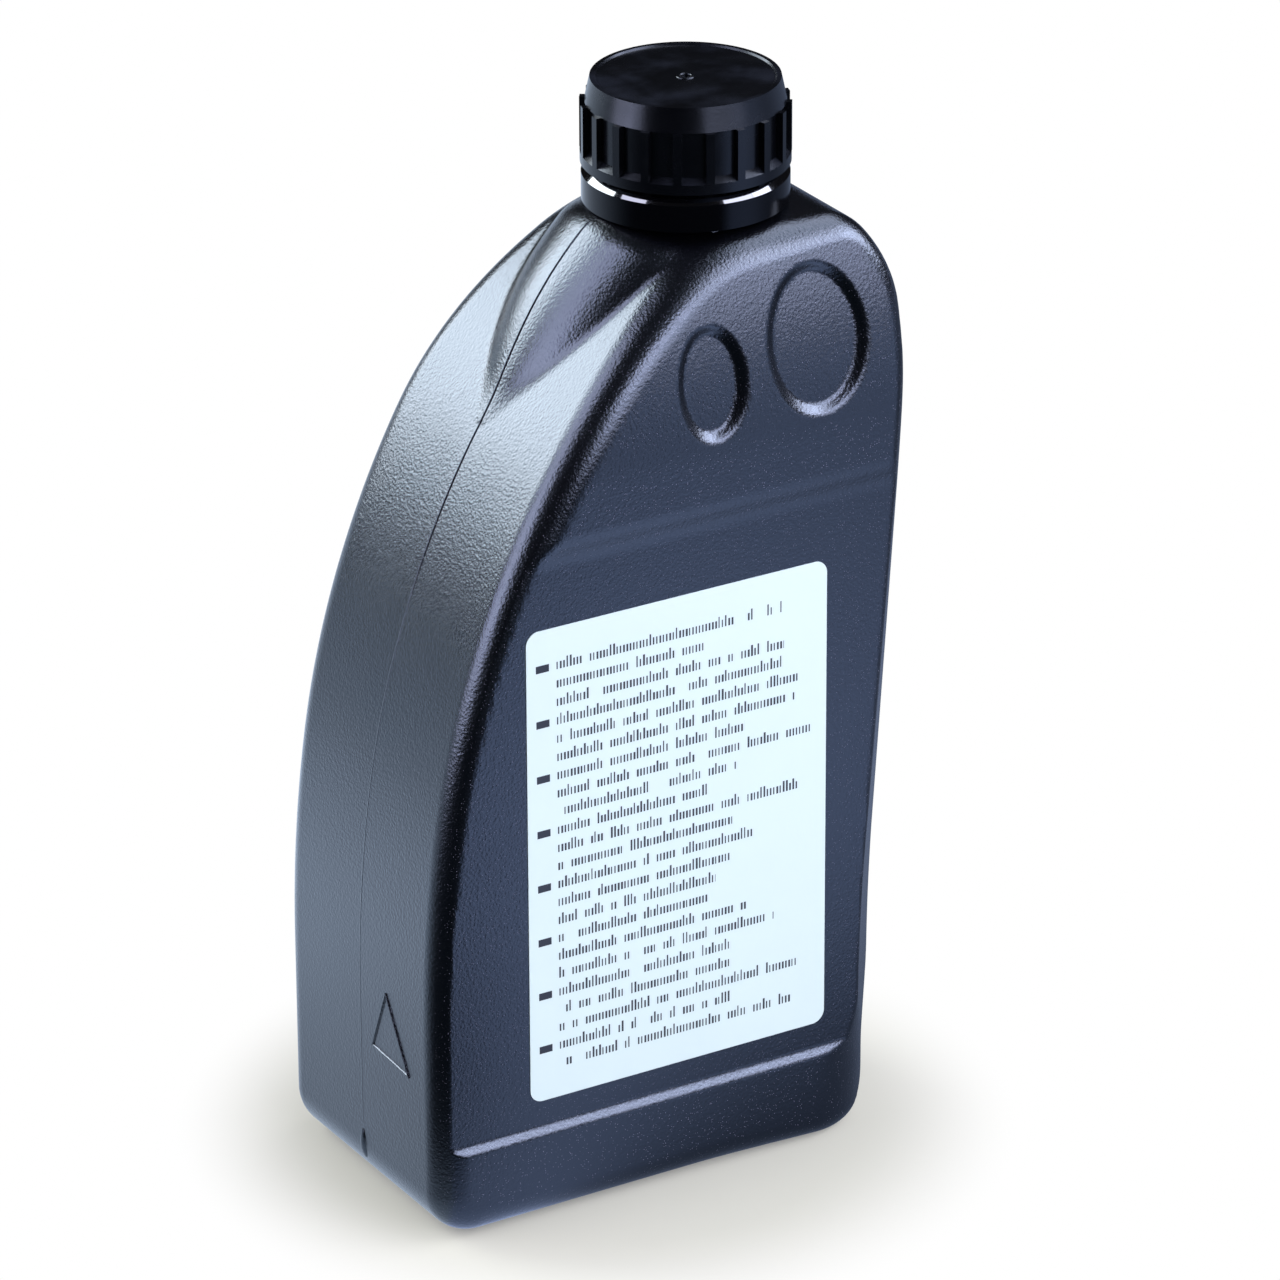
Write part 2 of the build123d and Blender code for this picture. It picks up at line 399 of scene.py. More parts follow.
@dataclass(frozen=True)
class MouldedPlastic:
    """Black injection-moulded plastic, satin or glossy, with faint flow marks and lighter smears on up-facing
    faces, partly smudges and partly painted sheen.
    """

    name: str
    base: Colour
    roughness: float
    roughness_swing: float = 0.08
    grain: float = 0.0005
    grain_depth: float = 0.00001
    gloss_tint: Colour = (0.80, 0.88, 1.0)
    index: float = 1.5
    edge_gloss: float = 0.0
    smudge_and_sheen: Colour = (0.001, 0.001, 0.0015)
    smear_and_sheen: float = 0.011
    smear_and_sheen_edges: Span = (0.40, 0.74)
    tilt: Span = (0.25, 0.55)
    flow: float = 0.009
    flow_lift: float = 1.5
    coat_roughness: float = 0.05
    coat_index: float = 3.2

    def material(self) -> bpy.types.Material:
        """Builds the finish.

        Returns:
            The material.
        """
        graph = Graph(self.name)
        flow = graph.noise(self.flow, detail=4.0)
        tilted = graph.ramp(graph.facing("Z"), *self.tilt)
        # Lighter smears only on up-facing faces: partly smudges, partly painted sheen that lifts the cap's
        # top.
        smears_and_sheen = tilted * graph.ramp(graph.noise(self.smear_and_sheen, detail=5.0), *self.smear_and_sheen_edges)
        plastic = graph.mix(flow, self.base, tuple(self.flow_lift * part for part in self.base))
        return graph.set(
            Coat_Weight=self.edge_gloss * tilted,
            Coat_Roughness=self.coat_roughness,
            Coat_IOR=self.coat_index,
            Base_Color=graph.mix(smears_and_sheen, plastic, self.smudge_and_sheen),
            Roughness=self.roughness + (flow - 0.5) * self.roughness_swing,
            Normal=graph.bump(graph.noise(self.grain), self.grain_depth),
            IOR=self.index,
            Specular_Tint=self.gloss_tint,
        )


@dataclass(frozen=True)
class FoamFinish:
    """Fine white closed-cell foam."""

    name: str
    base: Colour = (0.82, 0.82, 0.79)
    pore: float = 0.0007
    pore_depth: float = 0.0001
    pore_strength: float = 0.6
    dark_share: float = 0.86
    roughness: float = 0.8

    def material(self) -> bpy.types.Material:
        """Builds the finish.

        Returns:
            The material.
        """
        graph = Graph(self.name)
        cells = {"Vector": graph.place(), "Scale": 1.0 / self.pore}
        pores = graph.wire("ShaderNodeTexVoronoi", {}, cells)
        dark = tuple(self.dark_share * part for part in self.base)
        return graph.set(
            Base_Color=graph.mix(pores, dark, self.base),
            Roughness=self.roughness,
            Normal=graph.bump(pores, self.pore_depth, self.pore_strength),
        )


@dataclass(frozen=True)
class PrintedFilm:
    """Pale label film with rows of plain word-length bars, which stand for small print."""

    name: str
    film: Colour = (0.57, 0.67, 0.64)
    ink: Colour = (0.012, 0.013, 0.018)
    roughness: float = 0.42
    first_row: float = 0.1217
    row_pitch: float = 0.00398
    row_count: int = 23
    bar_height: float = 0.0016
    text_left: float = -0.0268
    text_width: float = 0.0600
    short_share: float = 0.55
    letter: float = 0.00152
    gap_share: float = 0.15
    stroke: float = 0.00076
    stroke_least: float = 0.34
    stroke_swing: float = 0.28
    tall_share: float = 0.80
    tall_rise: float = 0.0008
    mark_left: float = -0.0315
    mark_width: float = 0.0030
    mark_every: float = 3.0
    mark_share: float = 0.3
    mark_shift: float = 0.01
    length_seed: Span = (1.7, 3.1)
    stroke_seed: float = 7.0
    cloud: float = 0.02
    cloud_share: float = 0.96
    ink_gloss: float = 0.08
    tooth: float = 0.0009
    tooth_depth: float = 0.00001

    def material(self) -> bpy.types.Material:
        """Builds the finish.

        Returns:
            The material.
        """
        graph = Graph(self.name)
        across, _, height = graph.axes()
        half = self.bar_height / 2
        down = (self.first_row - height) / self.row_pitch + 0.5
        row = down.floor()
        low = (down.fraction() - 0.5) * self.row_pitch
        rows = (low < half) * (row > -0.5) * (row < self.row_count - 0.5)
        start = across - self.text_left
        chance = "ShaderNodeTexWhiteNoise"
        by_cell, by_row = {"noise_dimensions": "3D"}, {"noise_dimensions": "1D"}
        cell = graph.node("ShaderNodeCombineXYZ", {}, {0: (start / self.letter).floor(), 1: row})
        gaps = graph.wire(chance, by_cell, {"Vector": cell.outputs[0]})
        scale, shift = self.length_seed
        lengths = graph.wire(chance, by_row, {"W": row * scale + shift})
        reach = self.text_width * (self.short_share + (1.0 - self.short_share) * lengths)
        words = (gaps > self.gap_share) * (across > self.text_left) * (across < self.text_left + reach)
        marked = (row / self.mark_every + self.mark_shift).fraction() < self.mark_share
        marks = marked * (across > self.mark_left) * (across < self.mark_left + self.mark_width)
        along = start / self.stroke
        cell = graph.node("ShaderNodeCombineXYZ", {}, {0: along.floor(), 1: row, 2: self.stroke_seed})
        draws = graph.node(chance, by_cell, {"Vector": cell.outputs[0]})
        split = graph.node("ShaderNodeSeparateColor", {}, {0: draws.outputs["Color"]})
        inked = along.fraction() < self.stroke_least + self.stroke_swing * Wire(graph, split.outputs[0])
        tall = Wire(graph, split.outputs[1]) > self.tall_share
        body = low > -half
        above = tall * (low > -half - self.tall_rise)
        printed = rows * (words * inked * (1.0 - (1.0 - body) * (1.0 - above)) + marks * body)
        shade = tuple(self.cloud_share * part for part in self.film)
        paper = graph.mix(graph.noise(self.cloud), self.film, shade)
        return graph.set(
            Base_Color=graph.mix(printed, paper, self.ink),
            Roughness=self.roughness - printed * self.ink_gloss,
            Normal=graph.bump(graph.noise(self.tooth), self.tooth_depth),
        )


class Mould:
    """Implicit forms in millimetres, negative inside, and their polygon meshes."""

    @staticmethod
    def meet(first: Array, second: Array, radius: Union[Array, float], how: Blend) -> Array:
        """Joins two forms with a rounded edge.

        Args:
            first: distances to one form.
            second: distances to the other.
            radius: reach of the rounding.
            how: union, or cut where both must hold.

        Returns:
            Distances to the joined form.
        """
        gap = np.maximum(radius - np.abs(first - second), 0.0) / radius
        soft = gap * gap * radius / 4
        if how is Blend.UNION:
            return np.minimum(first, second) - soft
        return np.maximum(first, second) + soft

    @staticmethod
    def rounded_corner(first: Array, second: Array, radius: Union[Array, float]) -> Array:
        """Corner of two square faces, rounded to a true radius.

        Args:
            first: distances to one face.
            second: distances to the other.
            radius: radius of the rounding.

        Returns:
            Distances to the rounded corner.
        """
        near = np.maximum(first + radius, 0.0)
        far = np.maximum(second + radius, 0.0)
        return np.minimum(np.maximum(first, second) + radius, 0.0) + np.hypot(near, far) - radius

    @staticmethod
    def step(value: Array) -> Array:
        """Smooth step from zero to one."""
        share = np.clip(value, 0.0, 1.0)
        return share * share * (3.0 - 2.0 * share)

    @staticmethod
    def slope(form: Form, points: Array, reach: float = 0.05) -> Array:
        """Gradient of a form.

        Args:
            form: the form.
            points: places in millimetres.
            reach: half the span of each difference.

        Returns:
            One gradient for each point.
        """
        parts = []
        for axis in range(3):
            shift = np.eye(3)[axis] * reach
            parts.append((form(*(points + shift).T) - form(*(points - shift).T)) / (2 * reach))
        return np.stack(parts, 1)


@dataclass
class Net:
    """Polygon net of an implicit form, with one vertex in each cell that the surface crosses."""

    form: Form
    lines: tuple[Array, Array, Array]
    settle_rounds: int = 4
    least_slope: float = 0.2
    least_move: float = 1e-9

    @staticmethod
    def graded(low: float, high: float, pitch: float, bands: Iterable[Band] = ()) -> Array:
        """Grid lines along one axis that close up within bands.

        Args:
            low: first line.
            high: least place of the last line.
            pitch: distance between lines outside the bands.
            bands: start, end and pitch of each band.

        Returns:
            Places of the lines.
        """
        places = [low]
        while places[-1] < high:
            here = places[-1]
            places.append(here + min([pitch, *(fine for start, end, fine in bands if start <= here < end)]))
        return np.array(places)

    def build(self) -> tuple[Array, Array]:
        """Makes the net.

        Returns:
            Vertices in millimetres and quads of vertex numbers, wound outwards.
        """
        shape = tuple(len(line) for line in self.lines)
        x, y, z = self.lines
        grid = self.form(x[:, None, None], y[None, :, None], z[None, None, :])
        grid = np.broadcast_to(grid, shape)
        inside = grid < 0.0
        cells = tuple(size - 1 for size in shape)
        corner_count = np.zeros(cells, np.int8)
        for offset in np.ndindex(2, 2, 2):
            corner_count += inside[self._window(offset, cells)]
        crossed = (corner_count > 0) & (corner_count < 8)
        number = np.full(cells, -1, np.int64)
        places = np.argwhere(crossed)
        number[crossed] = np.arange(len(places))
        shares = self._crossings(grid, inside, places)
        parts = zip(self.lines, places.T, shares.T)
        points = np.stack([line[place] + np.diff(line)[place] * share for line, place, share in parts], 1)
        quads = np.concatenate([self._quads(inside, number, axis) for axis in range(3)])
        return self.settle(points), quads

    @staticmethod
    def _window(offset: tuple[int, ...], cells: tuple[int, ...]) -> tuple[slice, ...]:
        """Slices of the grid that hold one corner of every cell."""
        return tuple(slice(o, o + c) for o, c in zip(offset, cells))

    @staticmethod
    def _crossings(grid: Array, inside: Array, places: Array) -> Array:
        """Mean of the points where the surface crosses each cell's edges.

        Args:
            grid: distances at the grid's points.
            inside: where they are negative.
            places: index of each crossed cell.

        Returns:
            Points within the unit cell.
        """
        total = np.zeros((len(places), 3))
        count = np.zeros((len(places), 1))
        for axis in range(3):
            step = np.eye(3, dtype=int)[axis]
            for offset in np.ndindex(2, 2, 2):
                if offset[axis]:
                    continue
                first = tuple((places + offset).T)
                second = tuple((places + offset + step).T)
                cut = inside[first] != inside[second]
                a, b = grid[first], grid[second]
                share = np.where(cut, a / np.where(cut, a - b, 1.0), 0.0)
                total += np.where(cut[:, None], offset + share[:, None] * step, 0.0)
                count += cut[:, None]
        return total / count

    @staticmethod
    def _quads(inside: Array, number: Array, axis: int) -> Array:
        """Quads around the grid's edges along one axis.

        Args:
            inside: where the grid's points are inside.
            number: vertex number of each cell.
            axis: direction of the edges.

        Returns:
            Rows of four vertex numbers.
        """
        second, third = (axis + 1) % 3, (axis + 2) % 3
        ahead = np.moveaxis(inside, (axis, second, third), (0, 1, 2))
        cells = np.moveaxis(number, (axis, second, third), (0, 1, 2))
        first, last = ahead[:-1, 1:-1, 1:-1], ahead[1:, 1:-1, 1:-1]
        rows = []
        for out, order in ((first & ~last, 1), (last & ~first, -1)):
            i, j, k = np.nonzero(out)
            ring = [cells[i, j, k], cells[i, j + 1, k], cells[i, j + 1, k + 1], cells[i, j, k + 1]]
            rows.append(np.stack(ring[::order], 1))
        return np.concatenate(rows)

    def settle(self, points: Array) -> Array:
        """Draws points onto the surface.

        Args:
            points: places near the surface.

        Returns:
            The points on it.
        """
        reach = min(np.diff(line).min() for line in self.lines) / 2
        for _ in range(self.settle_rounds):
            slope = Mould.slope(self.form, points)
            steep = np.maximum((slope**2).sum(1), self.least_slope)
            move = slope * (self.form(*points.T) / steep)[:, None]
            length = np.maximum(np.linalg.norm(move, axis=1, keepdims=True), self.least_move)
            points = points - move * np.minimum(1.0, reach / length)
        return points


class Mesh:
    """Makers of Blender meshes from millimetres."""

    @staticmethod
    def make(name: str, points: Array, faces: Any, sharp_angle: float = 40.0) -> bpy.types.Object:
        """Makes an object from points and faces.

        Args:
            name: name of the piece.
            points: vertices in millimetres.
            faces: rows of vertex numbers.
            sharp_angle: edges that turn by more stay sharp, in degrees.

        Returns:
            The new object, smooth-shaded.
        """
        mesh = bpy.data.meshes.new(name)
        rows = faces.tolist() if isinstance(faces, np.ndarray) else faces
        mesh.from_pydata((np.asarray(points) * MM).tolist(), [], rows)
        mesh.validate()
        mesh.polygons.foreach_set("use_smooth", np.ones(len(mesh.polygons), bool))
        mesh.set_sharp_from_angle(angle=radians(sharp_angle))
        made = bpy.data.objects.new(name, mesh)
        bpy.context.scene.collection.objects.link(made)
        return made

    @staticmethod
    def band(rings: int, count: int, closed: bool = False) -> list[list[int]]:
        """Quads between successive rings of vertices.

        Args:
            rings: how many rings there are.
            count: vertices in each ring.
            closed: whether the last ring joins the first.

        Returns:
            Rows of four vertex numbers.
        """
        faces = []
        for i in range(rings if closed else rings - 1):
            low, top = count * i, count * ((i + 1) % rings)
            faces += [[low + k, top + k, top + (k + 1) % count, low + (k + 1) % count] for k in range(count)]
        return faces

    @staticmethod
    def lathe(name: str, profile: list[Span], axis_x: float, steps: int = 144) -> bpy.types.Object:
        """Turns a profile about an upright axis.

        Args:
            name: name of the piece.
            profile: radius and height of each point, from the axis below to the axis above.
            axis_x: where the axis stands.
            steps: facets round the axis.

        Returns:
            The closed solid.
        """
        turns = np.arange(steps) * 2 * pi / steps
        points = [(axis_x, 0.0, profile[0][1])]
        for radius, height in profile[1:-1]:
            points += [(axis_x + radius * cos(turn), radius * sin(turn), height) for turn in turns]
        points.append((axis_x, 0.0, profile[-1][1]))
        rings = len(profile) - 2
        faces: list[list[int]] = []
        for i in range(steps):
            j = (i + 1) % steps
            faces.append([0, 1 + j, 1 + i])
            for ring in range(rings - 1):
                low, top = 1 + ring * steps, 1 + (ring + 1) * steps
                faces.append([low + i, low + j, top + j, top + i])
            last = 1 + (rings - 1) * steps
            faces.append([last + i, last + j, len(points) - 1])
        return Mesh.make(name, np.array(points), faces, sharp_angle=30.0)

    @staticmethod
    def hoop(name: str, section: list[Span], x: float, y: float, steps: int = 48) -> bpy.types.Object:
        """Turns a closed section about an upright axis.

        Args:
            name: name of the piece.
            section: radius and height of each corner.
            x: where the axis stands across.
            y: where it stands in depth.
            steps: facets round the axis.

        Returns:
            The closed hoop.
        """
        points = []
        for turn in np.arange(steps) * 2 * pi / steps:
            points += [(x + radius * cos(turn), y + radius * sin(turn), height) for radius, height in section]
        return Mesh.make(name, np.array(points), Mesh.band(steps, len(section), closed=True))

    @staticmethod
    def combine(body: bpy.types.Object, tool: bpy.types.Object, operation: str) -> None:
        """Joins or cuts one solid with another, which is then removed.

        Args:
            body: solid that is changed.
            tool: solid that joins or cuts.
            operation: UNION or DIFFERENCE.
        """
        change = body.modifiers.new("combine", "BOOLEAN")
        change.operation = operation
        change.solver = "MANIFOLD"
        change.object = tool
        graph = bpy.context.evaluated_depsgraph_get()
        mesh = bpy.data.meshes.new_from_object(body.evaluated_get(graph))
        body.modifiers.clear()
        old = body.data
        body.data = mesh
        mesh.name = old.name
        bpy.data.meshes.remove(old)
        bpy.data.objects.remove(tool)

    @staticmethod
    def dress(piece: bpy.types.Object, material: bpy.types.Material) -> None:
        """Gives a piece one material."""
        piece.data.materials.clear()
        piece.data.materials.append(material)


def adopt(piece: bpy.types.Object, body: str, slot: Slot, *nodes: str) -> bpy.types.Object:
    """Puts a new piece on its body.

    Args:
        piece: the piece.
        body: the body that it rides on.
        slot: the record's slot for its finish; not used.
        nodes: model nodes that it stands for.

    Returns:
        The piece.
    """
    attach(piece, body)
    if nodes:
        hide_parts(*nodes)
    LOG.info("%s rides on %s, %d faces", piece.name, body, len(piece.data.polygons))
    return piece


@dataclass
class Arc:
    """Round stretch of the side outline, between two outward directions in degrees."""

    x: float
    z: float
    radius: float
    start: float
    end: float

    def distance(self, x: Array, z: Array) -> Array:
        """Distance to the arc within its sector.

        Args:
            x: places across.
            z: heights.

        Returns:
            Distances, far below zero outside the sector.
        """
        dx, dz = x - self.x, z - self.z
        after = cos(radians(self.start)) * dz - sin(radians(self.start)) * dx >= 0
        before = dx * sin(radians(self.end)) - dz * cos(radians(self.end)) >= 0
        return np.where(after & before, np.hypot(dx, dz) - self.radius, -np.inf)


@dataclass
class Oval:
    """Finger dimple: middle, outer width and outer height."""

    x: float
    z: float
    width: float
    height: float

    def inwards(self, x: Array, z: Array) -> Array:
        """Distance inwards from the oval's edge.

        Args:
            x: places across.
            z: heights.

        Returns:
            Distances, negative outside.
        """
        a, b = self.width / 2, self.height / 2
        u, v = (x - self.x) / a, (z - self.z) / b
        level = 1.0 - u * u - v * v
        slope = 2.0 * np.sqrt((u / a) ** 2 + (v / b) ** 2)
        return level / np.maximum(slope, 0.5 / max(a, b))


@dataclass
class BottleShell:
    """Blown bottle: hollow body with soft edges, ramp, neck and thread. Sizes in millimetres."""

    width: float = 110.0
    depth: float = 64.4
    crown: float = 198.5
    wall: float = 1.3
    rim_round: float = 6.8
    rim_round_right: float = 4.2
    rim_turn: Span = (5.0, 48.0)
    base_round: float = 10.0
    bend_radii: tuple[float, float, float] = (300.0, 194.0, 118.0)
    bend_turns: tuple[float, float, float] = (8.4, 20.6, 22.0)
    top_run: float = 14.5
    top_round: float = 10.0
    top_round_left: float = 34.0
    shoulder_radius: float = 25.0
    shoulder_turn: float = 49.5
    lean_radius: float = 99.0
    lean_height: float = 41.5
    bevel_width: float = 11.8
    bevel_depth: float = 14.7
    bevel_full: float = 47.0
    bevel_end: float = 190.0
    bevel_soft: float = 1.2
    bevel_foot_soft: float = 8.0
    bevel_foot: Span = (15.0, 34.0)
    field_low: float = 19.4
    field_high: float = 147.2
    field_depth: float = 1.25
    field_low_slope: float = 1.65
    field_high_slope: float = 3.2
    field_soft: float = 0.8
    field_low_soft: float = 0.3
    ovals: tuple[Oval, Oval] = (Oval(34.1, 176.8, 24.3, 31.3), Oval(9.5, 172.8, 16.9, 24.4))
    oval_depth: float = 1.6
    oval_slope: float = 3.3
    hollow_margin: float = 12.0
    hollow_depth: float = 2.2
    hollow_round: float = 12.0
    hollow_soft: float = 1.0
    channel_width: float = 13.0
    channel_depth: float = 1.7
    channel_soft: float = 6.0
    neck_x: float = 22.0
    neck_radius: float = 16.6
    bore_radius: float = 15.0
    mouth: float = 222.1
    mouth_round: float = 0.5
    neck_sink: float = 12.0
    bore_sink: float = 4.0
    bore_over: float = 5.0
    bead_radius: float = 17.9
    bead_base: float = 207.5
    bead_height: float = 1.2
    ledge: float = 200.0
    root_radius: float = 18.6
    root_fall: float = 3.6
    root_fall_limit: float = 1.5
    root_soft: float = 2.5
    ramp_heights: tuple[float, ...] = (162.0, 166.0, 170.0, 175.0, 180.0, 185.0, 190.0, 195.0, 200.0)
    ramp_crests: tuple[float, ...] = (-24.7, -22.9, -20.9, -18.4, -15.6, -12.5, -8.9, -4.6, 0.7)
    ramp_radii: tuple[float, ...] = (3.5, 10.5, 16.5, 20.7, 22.3, 22.7, 22.3, 21.6, 21.0)
    ramp_soft: float = 0.9
    ramp_root_soft: float = 2.0
    ramp_ease: float = 0.8
    crest_degree: int = 3
    spread_degree: int = 4
    thread_start: float = 213.6
    thread_pitch: float = 4.0
    thread_turns: float = 1.5
    thread_depth: float = 1.3
    thread_sink: float = 0.25
    thread_steps: int = 96
    thread_widths: Span = (1.9, 0.9)
    skin_pitch: float = 1.7
    fine_across: tuple[Band, ...] = ((-58.5, -45.0, 0.8), (-6.0, 47.0, 0.75), (44.0, 58.5, 0.8))
    fine_depth: tuple[Band, ...] = ((-35.7, -21.0, 0.75), (-21.0, 21.0, 1.2), (21.0, 35.7, 0.75))
    fine_height: tuple[Band, ...] = (
        (-3.5, 13.0, 1.1),
        (16.0, 23.0, 0.45),
        (141.0, 150.0, 0.7),
        (153.0, 204.0, 0.68),
    )
    lining_pitch: float = 2.3
    skin_sharp: float = 60.0
    skin_reach: float = 0.03
    shade_drop: float = 1.0
    arcs: list[Arc] = field(init=False, default_factory=list)
    run_angle: float = field(init=False, default=0.0)
    run_offset: float = field(init=False, default=0.0)

    def __post_init__(self) -> None:
        """Works out the arcs of the side outline."""
        left, right = -self.width / 2, self.width / 2
        first, second, third = self.bend_turns
        angles = (0.0, first, first + second, first + second + third)
        rise = sum(
            radius * (sin(radians(angles[i + 1])) - sin(radians(angles[i])))
            for i, radius in enumerate(self.bend_radii)
        )
        x, z = left, self.crown - rise - self.top_run * cos(radians(angles[3]))
        for i, radius in enumerate(self.bend_radii):
            low, high = radians(angles[i]), radians(angles[i + 1])
            middle_x, middle_z = x + radius * cos(low), z - radius * sin(low)
            self.arcs.append(Arc(middle_x, middle_z, radius, 180.0 - angles[i + 1], 180.0 - angles[i]))
            x, z = middle_x - radius * cos(high), middle_z + radius * sin(high)
        self.run_angle = radians(180.0 - angles[3])
        self.run_offset = x * cos(self.run_angle) + z * sin(self.run_angle)
        top_z = self.crown - self.top_round
        left_z = self.crown - self.top_round_left
        left_x = (self.run_offset - self.top_round_left - left_z * sin(self.run_angle)) / cos(self.run_angle)
        self.arcs.append(Arc(left_x, left_z, self.top_round_left, 90.0, 180.0 - angles[3]))
        shoulder_x = right - self.shoulder_radius
        shoulder_z = self.crown - self.shoulder_radius * sin(radians(self.shoulder_turn))
        reach = self.shoulder_radius - self.top_round
        lift = top_z - shoulder_z
        corner_x = shoulder_x + sqrt(reach * reach - lift * lift)
        split = np.degrees(np.arctan2(lift, corner_x - shoulder_x))
        self.arcs.append(Arc(corner_x, top_z, self.top_round, split, 90.0))
        self.arcs.append(Arc(shoulder_x, shoulder_z, self.shoulder_radius, 0.0, split))
        self.arcs.append(Arc(right - self.base_round, self.base_round, self.base_round, -90.0, 0.0))
        self.arcs.append(Arc(left + self.base_round, self.base_round, self.base_round, 180.0, 270.0))

    def outline(self, x: Array, z: Array) -> Array:
        """Distance to the side outline, seen from the label's side.

        Args:
            x: places across.
            z: heights.

        Returns:
            Distances, negative inside.
        """
        near = np.maximum(np.abs(x) - self.width / 2, np.maximum(-z, z - self.crown))
        near = np.maximum(near, x * cos(self.run_angle) + z * sin(self.run_angle) - self.run_offset)
        for arc in self.arcs:
            near = np.maximum(near, arc.distance(x, z))
        return near

    def broad_faces(self, x: Array, y: Array, z: Array) -> Array:
        """Distance to the broad faces, which lean back above the grip and carry the ovals.

        Args:
            x: places across.
            y: places in depth.
            z: heights.

        Returns:
            Distances, negative inside.
        """
        rise = np.maximum(z - self.crown + self.lean_height, 0.0)
        faces = np.hypot(np.abs(y) - self.depth / 2 + self.lean_radius, rise) - self.lean_radius
        for oval in self.ovals:
            faces = faces + self.oval_depth * Mould.step(oval.inwards(x, z) / self.oval_slope)
        return faces

    def label_field(self, y: Array, z: Array) -> Array:
        """Distance to the shallow field across a broad face.

        Args:
            y: places in depth.
            z: heights.

        Returns:
            Distances, negative in the body.
        """
        out = np.abs(y) - self.depth / 2
        low = (z - self.field_low) * self.field_depth + out * self.field_low_slope
        high = (self.field_high - z) * self.field_depth + out * self.field_high_slope
        low = low / hypot(self.field_depth, self.field_low_slope)
        high = high / hypot(self.field_depth, self.field_high_slope)
        floor = Mould.meet(out + self.field_depth, low, self.field_low_soft, Blend.UNION)
        return Mould.meet(floor, high, self.field_soft, Blend.UNION)

    def bevel(self, x: Array, y: Array, z: Array) -> Array:
        """Distance to the bevel on the corners of the straight narrow side, which fades out upwards.

        Args:
            x: places across.
            y: places in depth.
            z: heights.

        Returns:
            Distances, negative in the body.
        """
        length = hypot(self.bevel_width, self.bevel_depth)
        out_x, out_y = self.bevel_depth / length, self.bevel_width / length
        upright = (x - self.width / 2 + self.bevel_width) * out_x + (np.abs(y) - self.depth / 2) * out_y
        lift = self.bevel_end - self.bevel_full
        reach = self.bevel_width * out_x
        fading = (upright * lift - (z - self.bevel_full) * reach) / hypot(lift, reach)
        return Mould.meet(upright, fading, self.bevel_soft, Blend.UNION)

    def neck_root(self, x: Array, y: Array, z: Array) -> Array:
        """Distance to the neck's round root and the ramp that falls from it to the curved side.

        Args:
            x: places across.
            y: places in depth.
            z: heights.

        Returns:
            Distances, negative inside.
        """
        middle = self.ramp_heights[len(self.ramp_heights) // 2]
        heights = np.array(self.ramp_heights) - middle
        crest = np.polyfit(heights, self.ramp_crests, self.crest_degree)
        spread = np.polyfit(heights, self.ramp_radii, self.spread_degree)
        level = np.clip(z, self.ramp_heights[0], self.ramp_heights[-1]) - middle
        below = np.maximum(self.ramp_heights[0] - z, 0.0)
        radius = np.polyval(spread, level)
        away = np.hypot(x - np.polyval(crest, level) - radius, y)
        ramp = (away - radius + below) * self.ramp_ease
        root = np.hypot(x - self.neck_x, y) - self.root_radius
        joined = Mould.meet(ramp, root, self.ramp_root_soft, Blend.UNION)
        fall = self.root_fall * np.minimum((y / self.root_radius) ** 2, self.root_fall_limit)
        return Mould.meet(joined, z - self.ledge + fall, self.root_soft, Blend.CUT)

    def hollow(self, x: Array, y: Array, z: Array) -> Array:
        """Distance to the hollow under the base, with the shallow channel along the parting plane.

        Args:
            x: places across.
            y: places in depth.
            z: heights.

        Returns:
            Distances, negative in the hollow.
        """
        half_x = self.width / 2 - self.hollow_margin - self.hollow_round
        half_y = self.depth / 2 - self.hollow_margin - self.hollow_round
        out_x = np.maximum(np.abs(x) - half_x, 0.0)
        out_y = np.maximum(np.abs(y) - half_y, 0.0)
        walls = np.hypot(out_x, out_y) - self.hollow_round + np.maximum(z, 0.0)
        across = np.abs(y) - self.channel_width / 2
        channel = Mould.meet(across, z - self.channel_depth, self.channel_soft, Blend.CUT)
        return np.minimum(np.maximum(walls, z - self.hollow_depth), channel)

    def skin(self, x: Array, y: Array, z: Array) -> Array:
        """Outer form of the bottle below its neck.

        Args:
            x: places across.
            y: places in depth.
            z: heights.

        Returns:
            Distances, negative inside.
        """
        start, end = self.rim_turn
        turned = Mould.step((x - start) / (end - start))
        rim = self.rim_round + (self.rim_round_right - self.rim_round) * turned
        body = Mould.rounded_corner(self.outline(x, z), self.broad_faces(x, y, z), rim)
        foot, end = self.bevel_foot
        risen = Mould.step((z - foot) / (end - foot))
        soft = self.bevel_foot_soft + (self.bevel_soft - self.bevel_foot_soft) * risen
        body = Mould.meet(body, self.bevel(x, y, z), soft, Blend.CUT)
        edge = np.where(z < self.field_high / 2, self.field_low_soft, self.field_soft)
        body = Mould.meet(body, self.label_field(y, z), edge, Blend.CUT)
        body = Mould.meet(body, self.neck_root(x, y, z), self.ramp_soft, Blend.UNION)
        return Mould.meet(body, -self.hollow(x, y, z), self.hollow_soft, Blend.CUT)

    def lining(self, x: Array, y: Array, z: Array) -> Array:
        """Inner form, one wall inside the skin."""
        return self.skin(x, y, z) + self.wall

    def _net(self, form: Form, pitch: float, *bands: Iterable[Band]) -> Net:
        """Net of a form over the whole body.

        Args:
            form: the form.
            pitch: distance between grid lines.
            bands: bands of closer lines across, in depth and upwards.

        Returns:
            The net, not yet built.
        """
        room = 2.0 * pitch
        lows = (-self.width / 2 - room, -self.depth / 2 - room, -room)
        highs = (self.width / 2 + room, self.depth / 2 + room, self.ledge + room)
        closer = bands or ((), (), ())
        x, y, z = (Net.graded(low, high, pitch, band) for low, high, band in zip(lows, highs, closer))
        return Net(form, (x, y, z))

